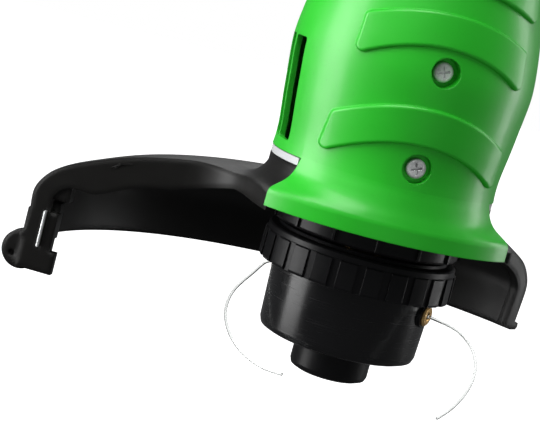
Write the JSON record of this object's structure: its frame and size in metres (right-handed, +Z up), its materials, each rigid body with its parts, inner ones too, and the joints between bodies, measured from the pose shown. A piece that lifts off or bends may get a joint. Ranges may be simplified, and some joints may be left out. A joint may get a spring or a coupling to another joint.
{
  "type": "string trimmer",
  "caption": "Electric string trimmer with a motor head, fan-shaped guard, bump-feed line head, telescopic shaft, loop handle and rear grip with trigger.",
  "frame": {"origin": "centre of the bump knob's flat bottom face, on the spool axis", "axes": "+Z up the spool axis, -Y towards the front of the motor head (the side with the flared skirt), +Y towards the guard and the leaning shaft, +X to the right seen from the front"},
  "size_m": [0.2521, 0.5117, 0.8895],
  "materials": {
    "green_housing": "satin moulded polypropylene",
    "black_guard": "fine grained moulding",
    "black_gloss": "polished moulding with light scratches",
    "black_ribbed": "satin moulding",
    "grey_band": "satin",
    "zinc_screw": "zinc plated",
    "blade_steel": "ground",
    "dark_steel": "rolled laminations",
    "bearing_steel": "ground",
    "copper": "enamelled copper",
    "brass": "turned",
    "carbon": "carbon",
    "fan_plastic": "natural nylon",
    "nylon_line": "translucent nylon",
    "spool_plastic": "satin",
    "spring_steel": "spring wire",
    "tube_metal": "powder coat",
    "tube_aluminium": "anodised",
    "grip_plastic": "grained",
    "grip_rubber": "soft touch",
    "green_accent": "satin"
  },
  "bodies": {
    "motor_head": {"front_housing_shell": "green_housing", "rear_housing_shell": "green_housing", "housing_screws": "zinc_screw", "guard": "black_guard", "cutter_blade": "blade_steel", "guard_retaining_band": "grey_band", "guard_screws": "zinc_screw", "spindle_housing": "black_ribbed", "motor_frame": "dark_steel", "lower_bearing": "bearing_steel", "upper_bearing": "bearing_steel", "bearing_bracket": "dark_steel", "stator_core": "dark_steel", "field_coils": "copper", "brush_holders": "brass", "carbon_brushes": "carbon", "lower_tube": "tube_metal", "tube_clamp_screw": "zinc_screw"},
    "line_head": {"armature_core": "dark_steel", "armature_windings": "copper", "commutator": "copper", "motor_shaft": "bearing_steel", "cooling_fan": "fan_plastic", "drive_hub": "brass", "head_spindle": "bearing_steel", "ribbed_ring": "black_ribbed", "spool_cup": "black_gloss", "line_eyelets": "brass", "line_end_right": "nylon_line", "line_end_left": "nylon_line"},
    "bump_washer": {"thrust_washer": "bearing_steel", "spool_spring": "spring_steel"},
    "spool": {"spool": "spool_plastic", "wound_line": "nylon_line", "bump_knob": "black_ribbed"},
    "lock_collar": {"telescope_collar": "grip_plastic"},
    "upper_shaft": {"upper_tube": "tube_aluminium", "handle_bracket": "grip_plastic", "left_grip_shell": "green_housing", "right_grip_shell": "green_housing", "grip_screws": "zinc_screw", "trigger_pin": "bearing_steel", "trigger_spring": "spring_steel", "power_switch": "carbon", "grip_end_cap": "grip_plastic", "power_inlet": "grip_plastic", "inlet_pins": "brass"},
    "front_handle": {"loop_handle": "grip_rubber", "handle_bolt": "zinc_screw"},
    "clamp_knob": {"clamp_knob": "green_accent"},
    "trigger": {"trigger": "grip_plastic"},
    "lock_off_button": {"lock_off_button": "grip_plastic"}
  },
  "joints": [
    {"name": "head_spin", "type": "hinge", "parent": "motor_head", "child": "line_head", "pos_m": [0, 0, 0.05], "axis": [0, 0, 1], "continuous": true},
    {"name": "bump_slide", "type": "slide", "parent": "line_head", "child": "bump_washer", "axis": [0, 0, 1], "range_m": [0, 0.0045], "stiffness_N_per_m": 900, "springref_m": -0.008, "deforming": ["spool_spring"]},
    {"name": "spool_index", "type": "hinge", "parent": "bump_washer", "child": "spool", "pos_m": [0, 0, 0.03], "axis": [0, 0, 1], "continuous": true},
    {"name": "collar_twist", "type": "hinge", "parent": "motor_head", "child": "lock_collar", "pos_m": [0, 0.22628, 0.54212], "axis": [0, 0.5299, 0.848], "range_deg": [0, 60]},
    {"name": "telescope", "type": "slide", "parent": "motor_head", "child": "upper_shaft", "axis": [0, 0.5299, 0.848], "range_m": [0, 0.18]},
    {"name": "handle_tilt", "type": "hinge", "parent": "upper_shaft", "child": "front_handle", "pos_m": [0, 0.2692, 0.65798], "axis": [1, 0, 0], "range_deg": [-35, 35]},
    {"name": "clamp_knob_turn", "type": "hinge", "parent": "front_handle", "child": "clamp_knob", "pos_m": [0.024, 0.2692, 0.65798], "axis": [1, 0, 0], "range_deg": [0, 180]},
    {"name": "trigger_pull", "type": "hinge", "parent": "upper_shaft", "child": "trigger", "pos_m": [0, 0.34593, 0.71851], "axis": [1, 0, 0], "range_deg": [0, 9], "stiffness_Nm_per_rad": 1.2, "springref_deg": -8.59, "deforming": ["trigger_spring"]},
    {"name": "lock_off_press", "type": "slide", "parent": "upper_shaft", "child": "lock_off_button", "axis": [0, 0.848, -0.5299], "range_m": [0, 0.003], "stiffness_N_per_m": 500, "springref_m": -0.004}
  ]
}
